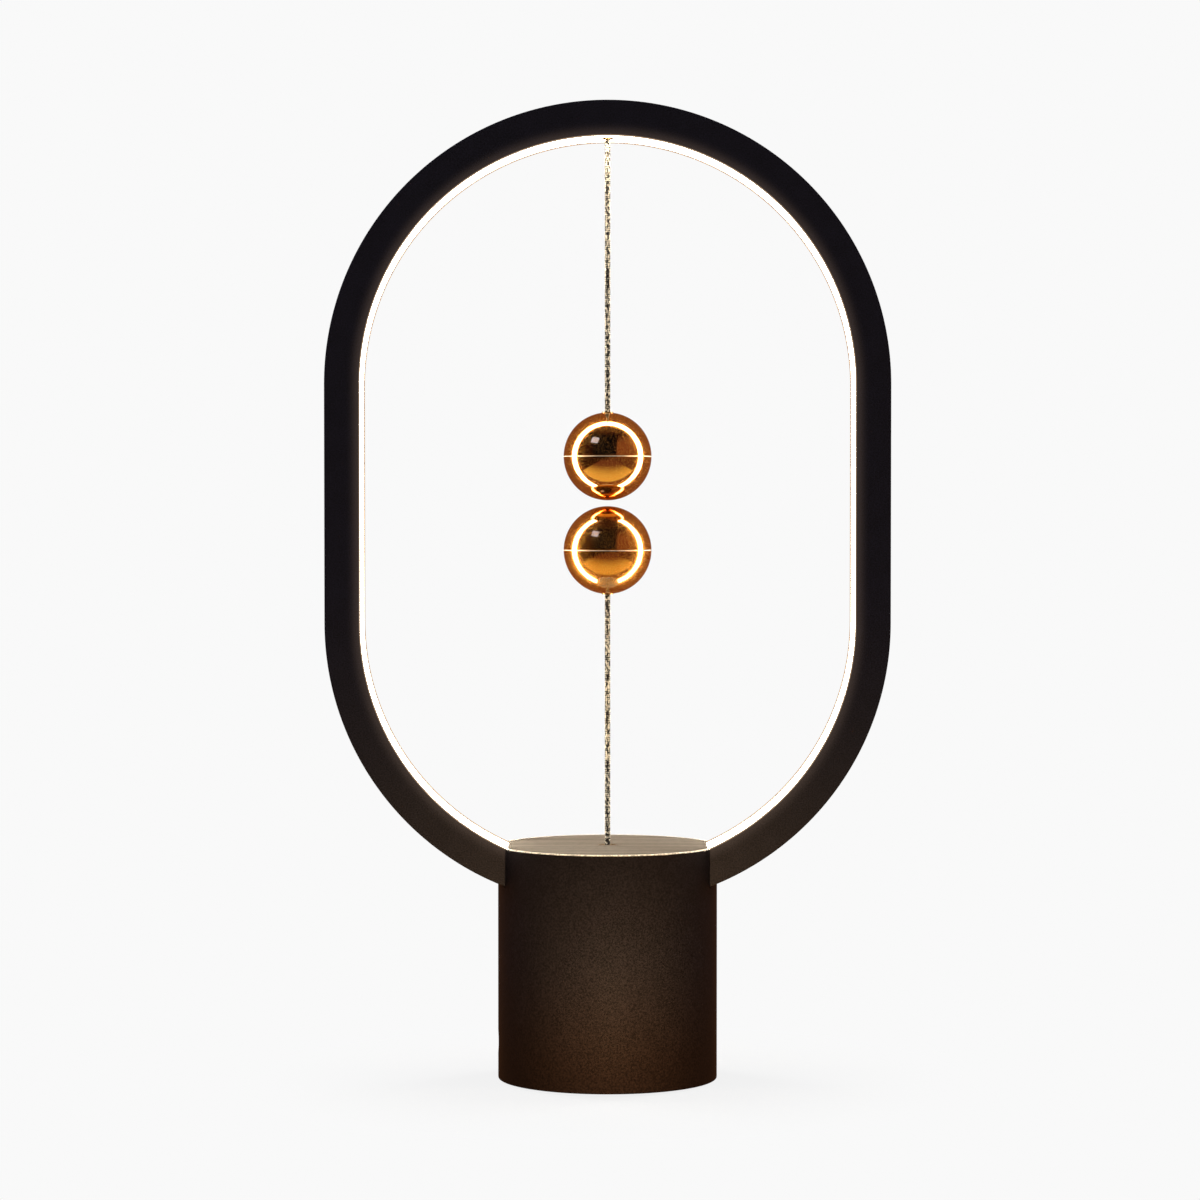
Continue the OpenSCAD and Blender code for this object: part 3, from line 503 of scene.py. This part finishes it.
class Finish(Tree):
    """A material with one Principled shader."""

    def __init__(self, name, **settings):
        self.material = bpy.data.materials.new(name)
        super().__init__(self.material)
        self.place = self.node("ShaderNodeTexCoord", output=OBJECT_COORDINATES)
        self.shader = self.tree.nodes.new("ShaderNodeBsdfPrincipled")
        self.node("ShaderNodeOutputMaterial", None, {0: Wire(self, self.shader.outputs[0])})
        self.set(**settings)

    def set(self, **inputs):
        """Sockets of the shader by name, with _ for a space: a number, a colour of three or a wire."""
        for name, value in inputs.items():
            socket = self.shader.inputs[name.replace("_", " ")]
            if isinstance(value, Wire):
                self.tree.links.new(value.socket, socket)
            else:
                socket.default_value = (*value, 1.0) if isinstance(value, tuple) else value
        return self

    def noise(self, size, detail=3.0, stretch=(1, 1, 1)):
        """Cloudy noise whose patches are about size across, drawn out along an axis by its stretch."""
        scale = tuple(1 / s for s in stretch)
        place = self.node("ShaderNodeMapping", None, {"Vector": self.place, "Scale": scale})
        inputs = {"Vector": place, "Scale": 1 / size, "Detail": detail}
        return self.node("ShaderNodeTexNoise", None, inputs)

    def attribute(self, name):
        """The number that the mesh keeps under a name."""
        return self.node("ShaderNodeAttribute", {"attribute_name": name}, None, ATTRIBUTE_VALUE)

    def bump(self, height, depth):
        """Relief as deep as depth where the height goes from 0 to 1."""
        inputs = {"Strength": 1.0, "Distance": depth, "Height": height}
        return self.node("ShaderNodeBump", None, inputs)


# %% [markdown]
# Moulded plastic is never one flat colour. The mould's spark texture gives it a fine grain, the colour
# drifts a little over the part, and handling makes some patches smoother than others. One function makes
# such a finish from a colour, a grain and a gloss, for all the moulded parts, shown or hidden.

# %% Moulded plastic
def moulded(name, colour, roughness=0.5, grain=0.4 * MM, depth=0.02 * MM, gloss=0.3):
    """Base Color = colour * (0.5 to 1.5), Roughness = roughness +- 0.08, with a fine grain as bump.
    The colour may be a function of the finish, where it changes over the part."""
    finish = Finish(name, Specular_IOR_Level=gloss)
    drift, fine = finish.noise(9 * MM), finish.noise(grain, 2)
    mottle = finish.ease(0.12 * drift + 0.88 * fine, 0.3, 0.7)
    shade = finish.blend(mottle, (0.5,) * 3, (1.5,) * 3)
    finish.set(
        Base_Color=finish.tinted(colour(finish) if callable(colour) else colour, shade),
        Roughness=roughness - 0.08 + 0.16 * drift,
        Normal=finish.bump(fine, depth),
    )
    return finish


# %% [markdown]
# The frame is a near black with a cold cast at the top. Towards the base its colour is painted warmer,
# as painted warm light that falls on its lower part. Along the inner edge of the face a brown glow a few
# millimetres wide is painted on as emission, and the lip itself is painted as a lit tan line: both are
# painted light from the strip.

# %% The frame's black, its painted warm foot and the painted glow at its lip
FRAME_TOP_COLOUR = (0.0098, 0.0086, 0.0200)
# The foot colour is painted warm light on the frame's lower part.
FRAME_FOOT_PAINTED_WARMTH = (0.0230, 0.0180, 0.0190)
FADE_TO_TOP = 210 * MM
GLOW_REACH, GLOW_START = 8 * MM, 0.3 * MM
# Painted light: a brown glow along the inner edge of the face, and a lit tan line on the lip.
GLOW_COLOUR = (0.033, 0.023, 0.018)
LIP_W = 0.6 * MM
LIP_PAINTED_LIGHT = (0.60, 0.42, 0.26)


def frame_colour_and_painted_warmth(finish):
    """From the foot colour, which is painted warm light, to the top colour with the height."""
    _, _, z = finish.split(finish.place)
    return finish.blend(finish.ease(z, BASE_H, FADE_TO_TOP), FRAME_FOOT_PAINTED_WARMTH, FRAME_TOP_COLOUR)


frame_plastic = moulded("frame_plastic", frame_colour_and_painted_warmth, 0.55, 0.5 * MM, 0.02 * MM, 0.2)
inward = frame_plastic.attribute("inward")
# Painted glow fading from the inner edge, and the painted light of the lip line.
painted_glow_mask = frame_plastic.ease(inward, GLOW_REACH, GLOW_START) ** 3.0
lip = frame_plastic.ease(inward, LIP_W, 0.0)
painted_glow = frame_plastic.blend(painted_glow_mask, (0.0, 0.0, 0.0), GLOW_COLOUR)
frame_plastic.set(Emission_Color=frame_plastic.blend(lip, painted_glow, LIP_PAINTED_LIGHT), Emission_Strength=1.0)
for piece in frame_halves:
    piece.data.materials.append(frame_plastic.material)
print("frame finish: %d nodes" % len(frame_plastic.tree.nodes))

# %% [markdown]
# The base has the same fine grain in a dark brown. Near the table its colour is painted a little redder,
# as painted warm light reflected from the table. Its rim is a small rounded edge, painted pale as a thin
# line all round the disc: a painted highlight of the glowing frame above it. The height, taken from the
# Object coordinates, tells the rim from the wall.

# %% The base, its painted warm foot and the painted highlight of its rim
BASE_COLOUR = (0.0100, 0.0076, 0.0092)
# The foot colour is painted warm light reflected from the table onto the lower wall.
BASE_FOOT_PAINTED_WARMTH = (0.0108, 0.0056, 0.0040)
# The rim colour is a painted highlight of the glowing frame on the rounded rim.
RIM_PAINTED_HIGHLIGHT = (0.86, 0.78, 0.64)
PAINTED_WARMTH_BELOW = 60 * MM
RIM_FROM, RIM_FULL = BASE_H - 0.55 * MM, BASE_H - 0.35 * MM


def base_colour_and_painted_light(finish):
    """The wall's colour is painted warmer towards the foot, and the top half millimetre is the rim,
    painted pale as a highlight.
    """
    _, _, z = finish.split(finish.place)
    wall = finish.blend(finish.ease(z, PAINTED_WARMTH_BELOW, 0), BASE_COLOUR, BASE_FOOT_PAINTED_WARMTH)
    return finish.blend(finish.ease(z, RIM_FROM, RIM_FULL), wall, RIM_PAINTED_HIGHLIGHT)


base_plastic = moulded("base_plastic", base_colour_and_painted_light, 0.5, 0.7 * MM, 0.03 * MM, 0.14)

# %% [markdown]
# The disc on top of the base is a satin taupe with a grain that runs from left to right. Noise that is
# drawn out a long way along X and kept narrow along Y gives such a grain. Broad streaks and short flecks
# lie over the fine ones.

# %% The disc
DISC_DARK = (0.084, 0.074, 0.061)
DISC_PALE = (0.212, 0.192, 0.162)

disc_plastic = Finish("disc_plastic", Specular_IOR_Level=0.4)
streak = disc_plastic.noise(0.9 * MM, 4, (40, 1, 1))
broad = disc_plastic.noise(6 * MM, 2, (14, 1, 1))
speck = disc_plastic.noise(1.2 * MM, 3, (2, 1, 1))
grain = disc_plastic.ease(0.25 * streak + 0.45 * broad + 0.3 * speck, 0.36, 0.64)
disc_plastic.set(
    Base_Color=disc_plastic.blend(grain, DISC_DARK, DISC_PALE),
    Roughness=0.42 + 0.2 * streak,
    Normal=disc_plastic.bump(streak, 0.015 * MM),
)

# %% [markdown]
# The diffuser is opal plastic with a strip of light behind it. It is far brighter than anything else in
# the picture, so it shows as plain warm white, and only its two edges, where the ledges shade it, are a
# little deeper in colour. The light that the balls and the base receive comes from this surface.

# %% The diffuser
GLOW = 14.0
DIFFUSER_COLOUR = (0.9, 0.86, 0.78)
GLOW_MIDDLE = (1.0, 0.90, 0.74), (1.0, 0.93, 0.80)
GLOW_EDGE = (0.85, 0.66, 0.42)

diffuser_plastic = Finish(
    "diffuser_plastic", Base_Color=DIFFUSER_COLOUR, Roughness=0.4, Emission_Strength=GLOW
)
_, y, _ = diffuser_plastic.split(diffuser_plastic.place)
off_middle = diffuser_plastic.node("ShaderNodeMath", {"operation": "ABSOLUTE"}, {0: y})
edge = diffuser_plastic.ease(off_middle, FRAME_HALF_DEPTH - 5 * MM, FRAME_HALF_DEPTH - 2 * MM)
cloud = diffuser_plastic.noise(14 * MM, 2)
middle = diffuser_plastic.blend(cloud, *GLOW_MIDDLE)
diffuser_plastic.set(Emission_Color=diffuser_plastic.blend(edge, middle, GLOW_EDGE))

# %% [markdown]
# The balls are plated with a copper gold mirror. In the photograph the mirror isn't perfect: fine
# speckles scatter the light, which shows as a brown haze in the rim and as a warm halo beside the image
# of the glowing frame. A mask of small speckles makes the surface rougher, and its colour deeper, only
# where they are. The lower ball is handled more, so it has more of them towards its lower end.

# %% Copper plating
COPPER_CLEAR = (0.96, 0.66, 0.36)
COPPER_DEEP = (0.88, 0.36, 0.06)

copper_plating = Finish("copper_plating", Metallic=1.0, Specular_Tint=(1.0, 0.90, 0.80))
_, _, z = copper_plating.split(copper_plating.place)
worn = copper_plating.ease(z, UPPER_BALL_Z - BALL_R, LOWER_BALL_Z - 0.3 * BALL_R)
speckle = copper_plating.ease(copper_plating.noise(0.25 * MM, 2) + 0.07 * worn, 0.48, 0.70)
tarnish = copper_plating.noise(5 * MM, 3)
deep = copper_plating.ease(0.8 * speckle + 0.2 * tarnish, 0.05, 0.6)
copper_plating.set(
    Base_Color=copper_plating.blend(deep, COPPER_CLEAR, COPPER_DEEP),
    Roughness=0.02 + 0.31 * speckle,
)
for piece in ball_halves.values():
    piece.data.materials.append(copper_plating.material)

# %% [markdown]
# The yarns of the cords are cotton: one family nearly black, the other a grey beige. They lie in uneven
# patches, which a noise gives, and the attribute from the braid shifts its edges to the yarns. Finer
# noise along the cord stands for the fibres.

# %% Cord braid
cord_braid = Finish("cord_braid", Specular_IOR_Level=0.2)
yarn = cord_braid.attribute("yarn")
fibre = cord_braid.noise(0.12 * MM, 4, (1, 1, 3))
patch = cord_braid.noise(0.75 * MM, 2, (1, 1, 1.5))
pale = cord_braid.blend(fibre, (0.42, 0.36, 0.27), (0.85, 0.78, 0.64))
dark = cord_braid.blend(fibre, (0.004, 0.004, 0.005), (0.030, 0.026, 0.024))
cord_braid.set(
    Base_Color=cord_braid.blend(cord_braid.ease(patch + 0.12 * yarn, 0.575, 0.625), dark, pale),
    Roughness=0.8 + 0.1 * fibre,
    Normal=cord_braid.bump(fibre, 0.03 * MM),
)
for piece in (upper_cord, lower_cord):
    piece.data.materials.append(cord_braid.material)

# %% [markdown]
# Metal parts are small here: ferrules, the eyelet, screws, the shell of the inlet, springs and magnets.
# Brushing or drawing leaves fine lines along one axis, and broader patches of wear vary the colour. The
# same function gives brass, nickel and zinc by their colour and roughness.

# %% Metals
def metal(name, colour, roughness, lines=(1, 1, 6)):
    """Base Color = colour * (0.8 to 1.1) and Roughness +- 0.12, both along fine drawn lines."""
    finish = Finish(name, Metallic=1.0)
    drawn = finish.noise(0.15 * MM, 4, lines)
    wear = finish.noise(2.5 * MM)
    darker, lighter = (tuple(min(1.0, c * share) for c in colour) for share in (0.8, 1.1))
    finish.set(
        Base_Color=finish.blend(0.5 * drawn + 0.5 * wear, darker, lighter),
        Roughness=roughness - 0.12 + 0.24 * drawn,
        Normal=finish.bump(drawn, 0.004 * MM),
    )
    return finish


finishes = {
    "base_plastic": base_plastic,
    "disc_plastic": disc_plastic,
    "diffuser_plastic": diffuser_plastic,
    "copper_plating": copper_plating,
    "brass": metal("brass", (0.78, 0.53, 0.22), 0.25),
    "eyelet_metal": metal("eyelet_metal", (0.30, 0.24, 0.17), 0.45),
    "magnet_nickel": metal("magnet_nickel", (0.66, 0.66, 0.68), 0.2),
    "screw_steel": metal("screw_steel", (0.60, 0.61, 0.64), 0.35),
    "spring_steel": metal("spring_steel", (0.52, 0.53, 0.56), 0.3),
    "inlet_shell": metal("inlet_shell", (0.66, 0.65, 0.62), 0.28, (6, 1, 1)),
    "ballast_iron": metal("ballast_iron", (0.20, 0.20, 0.21), 0.5, (6, 1, 1)),
}
print("metals and special finishes:", len(finishes))

# %% [markdown]
# The pale line between the half shells is the joint ring inside the ball, in a light satin plastic. The
# remaining parts are moulded plastic, rubber, film and laminate. Most of them are hidden inside the base.

# %% The other moulded parts
finishes["frame_plastic"] = frame_plastic
finishes["cord_braid"] = moulded("tail_braid", (0.05, 0.045, 0.04), 0.85, 0.2 * MM, 0.03 * MM)
for name, colour, roughness in (
    ("pale_gold", (0.90, 0.80, 0.62), 0.3),
    ("cover_plastic", (0.030, 0.025, 0.024), 0.6),
    ("strip_film", (0.85, 0.83, 0.78), 0.4),
    ("white_nylon", (0.85, 0.82, 0.75), 0.45),
    ("slider_plastic", (0.20, 0.21, 0.23), 0.45),
    ("black_plastic", (0.012, 0.012, 0.013), 0.5),
    ("plunger_plastic", (0.55, 0.05, 0.03), 0.35),
    ("board_laminate", (0.03, 0.16, 0.06), 0.35),
    ("lead_sleeve", (0.28, 0.05, 0.04), 0.6),
    ("foot_rubber", (0.02, 0.02, 0.02), 0.75),
):
    finishes[name] = moulded(name, colour, roughness)

light_chip = moulded("light_chip", (1.0, 0.85, 0.5), 0.3)
light_chip.set(Emission_Color=(1.0, 0.9, 0.7), Emission_Strength=GLOW)
finishes["light_chip"] = light_chip

# %% [markdown]
# A node of the model that stays is given its new finish through its material slot. The mesh itself is
# left as the model made it.

# %% Finishes on the nodes of the model
for part in frame["record"]["subparts"]:
    for slot in nodes[part["node"]].material_slots:
        slot.material = finishes[part["material_slot"]].material
for piece in contacts:
    piece.data.materials.append(finishes["brass"].material)

# %% [markdown]
# The setting is a plain studio. The camera sees a pale background. What lights the lamp comes mostly
# from the front. The mirror balls show the dim room that the photograph shows in them: darkest behind
# the camera, with a brown wall on the right and behind the lamp. Each mask eases along one axis of the
# direction that the ray goes, and the masks are laid over each other.

# %% World
BACKGROUND = 0.947
FRONT_LEVEL = 1.85
AMBIENT_LEVEL = 0.04
FRONT_COLOUR = (FRONT_LEVEL, FRONT_LEVEL * 0.97, FRONT_LEVEL * 0.95)
ROOM_DARK = (0.028, 0.011, 0.006)
ROOM_CEILING = (0.036, 0.014, 0.008)
ROOM_CORNER = (0.004, 0.003, 0.004)
WALL_RIGHT = (0.215, 0.083, 0.032)
WALL_BEHIND = (0.225, 0.090, 0.032)

world = bpy.data.worlds.new("studio")
bpy.context.scene.world = world
sky = Tree(world)
x, y, z = sky.split(sky.node("ShaderNodeTexCoord"))
camera_ray, glossy_ray = sky.rays()
on_right = sky.ease(x, 0.36, 0.42) * sky.ease(z, 0.95, 0.5)
corner = sky.ease(x, -0.68, -0.58) * sky.ease(x, 0.42, 0.36) * sky.ease(z, 0.9, 0.8)
room = sky.blend(on_right, ROOM_DARK, WALL_RIGHT)
room = sky.blend(sky.ease(z, 0.55, 0.95), room, ROOM_CEILING)
room = sky.blend(corner, room, ROOM_CORNER)
room = sky.blend(sky.ease(y, -0.25, 0.5), room, WALL_BEHIND)
front = sky.ease(-1 * y, 0.5, 1.0) ** 2.0
lighting = sky.blend(front, (AMBIENT_LEVEL,) * 3, FRONT_COLOUR)
colour = sky.blend(glossy_ray, lighting, room)
colour = sky.blend(camera_ray, colour, (BACKGROUND,) * 3)
sky.node("ShaderNodeOutputWorld", None, {0: sky.node("ShaderNodeBackground", None, {"Color": colour})})

# %% [markdown]
# The floor is as pale as the background, and keeps a faint shadow of the lamp close to the base, so that
# no edge shows far away. The balls see a table there, painted as emission: a painted pool of warm lamp
# light, bright at the lamp and darker towards the camera, with the dim floor of the room beside it.

# %% Floor
FLOOR_HALF = 12.0
SHADOW_REACH = 0.15
SHADOW_SHARE = 0.12
TABLE_HALF_W, TABLE_EDGE = 0.45, 0.02
TABLE_NEAR, TABLE_FAR = -1.50, -0.100
TABLE_DIM, TABLE_LIT = (0.150, 0.055, 0.024), (0.84, 0.56, 0.130)
FLOOR_LEFT, FLOOR_RIGHT = (0.030, 0.012, 0.006), (0.120, 0.048, 0.020)
FLOOR_BEHIND = (0.210, 0.080, 0.030)
WHITE = (1, 1, 1, 1)

corners = np.array([[-1, -1, 0], [1, -1, 0], [1, 1, 0], [-1, 1, 0]], float) * FLOOR_HALF
floor_mesh = bpy.data.meshes.new("floor")
floor_mesh.from_pydata(corners.tolist(), [], [[0, 1, 2, 3]])
floor = bpy.data.objects.new("floor", floor_mesh)
bpy.context.scene.collection.objects.link(floor)

floor_material = bpy.data.materials.new("floor")
ground = Tree(floor_material)
x, y, _ = ground.split(ground.node("ShaderNodeTexCoord", output=OBJECT_COORDINATES))
camera_ray, glossy_ray = ground.rays()
aside = (x * x) ** 0.5
across = ground.ease(aside, TABLE_HALF_W + TABLE_EDGE, TABLE_HALF_W - TABLE_EDGE)
along = ground.ease(y, TABLE_FAR + 0.01, TABLE_FAR - 0.01)
on_table = across * along * ground.ease(y, TABLE_NEAR - 0.2, TABLE_NEAR + 0.2)
# Painted pool of lamp light on the table, seen only by glossy rays.
lit = ground.blend(ground.ease(y, -0.75, TABLE_FAR) ** 2.0, TABLE_DIM, TABLE_LIT)
beside = ground.blend(ground.ease(x, -0.2, 0.2), FLOOR_LEFT, FLOOR_RIGHT)
beside = ground.blend(ground.ease(y, -0.30, -0.08), beside, FLOOR_BEHIND)
painted_table_light = ground.blend(on_table, beside, lit)
pale = ground.node("ShaderNodeEmission", None, {"Color": WHITE, "Strength": BACKGROUND})
table = ground.node("ShaderNodeEmission", None, {"Color": painted_table_light, "Strength": 1.0})
shadowed = ground.node("ShaderNodeBsdfDiffuse", None, {"Color": (0.9, 0.9, 0.9, 1)})
warm = ground.node("ShaderNodeBsdfDiffuse", None, {"Color": (0.22, 0.13, 0.08, 1)})
near_base = ground.ease((x * x + y * y) ** 0.5, SHADOW_REACH, BASE_R)
pale_share = 1 - SHADOW_SHARE * near_base
to_camera = ground.node("ShaderNodeMixShader", None, {0: pale_share, 1: shadowed, 2: pale})
to_others = ground.node("ShaderNodeMixShader", None, {0: glossy_ray, 1: warm, 2: table})
both = ground.node("ShaderNodeMixShader", None, {0: camera_ray, 1: to_others, 2: to_camera})
ground.node("ShaderNodeOutputMaterial", None, {0: both})
floor_mesh.materials.append(floor_material)

# %% [markdown]
# Four soft lights stand in the room. A window high on the left is small enough to show in each ball as
# the bright square of the photograph. Two fills behind the lamp, one on each side, keep its back from
# going flat black. A small warm reflector close in front of the base brings out the middle of the dark
# wall, while its sides stay dark. The balls see neither the fills nor the reflector, and the floor is
# kept out of the reflector's light.

# %% Lights
def soft_light(name, at, aim, width, height, energy, colour=(1.0, 1.0, 1.0)):
    """A rectangle of light that stands at a point and faces another. Its energy is in watts."""
    light = bpy.data.lights.new(name, "AREA")
    light.shape, light.size, light.size_y = "RECTANGLE", width, height
    light.energy, light.color = energy, colour
    holder = bpy.data.objects.new(name, light)
    holder.location = at
    holder.rotation_euler = (aim - at).to_track_quat("-Z", "Y").to_euler()
    bpy.context.scene.collection.objects.link(holder)
    return holder


BALLS_AT = Vector((0, 0, (UPPER_BALL_Z + LOWER_BALL_Z) / 2))
LAMP_MIDDLE = Vector((0, 0, 0.2))
WINDOW_DIRECTION = Vector((-0.496, -0.570, 0.656))
WINDOW_DISTANCE = 1.6
WINDOW_COLOUR = (0.40, 0.50, 0.92)
REFLECTOR_AT = Vector((0.004, -0.115, 0.034))
REFLECTOR_AIM = Vector((0.004, 0, 0.034))
REFLECTOR_COLOUR = (1.0, 0.74, 0.36)

window_at = BALLS_AT + WINDOW_DISTANCE * WINDOW_DIRECTION
soft_light("window", window_at, BALLS_AT, 0.50, 0.40, 1.10, WINDOW_COLOUR)
for side in (-1, 1):
    fill = soft_light("fill", Vector((1.25 * side, 1.05, 0.80)), LAMP_MIDDLE, 0.5, 0.5, 21.0)
    fill.visible_glossy = False
reflector = soft_light("reflector", REFLECTOR_AT, REFLECTOR_AIM, 0.03, 0.03, 0.19, REFLECTOR_COLOUR)
reflector.visible_camera = False
reflector.visible_glossy = False
unlit = bpy.data.collections.new("out_of_the_reflector")
unlit.objects.link(floor)
unlit.collection_objects[0].light_linking.link_state = "EXCLUDE"
reflector.light_linking.receiver_collection = unlit
bpy.context.scene.view_settings.view_transform = "Standard"
lights = [thing for thing in bpy.data.objects if thing.type == "LIGHT"]
print("lights: %d, %.1f W in all" % (len(lights), sum(light.data.energy for light in lights)))
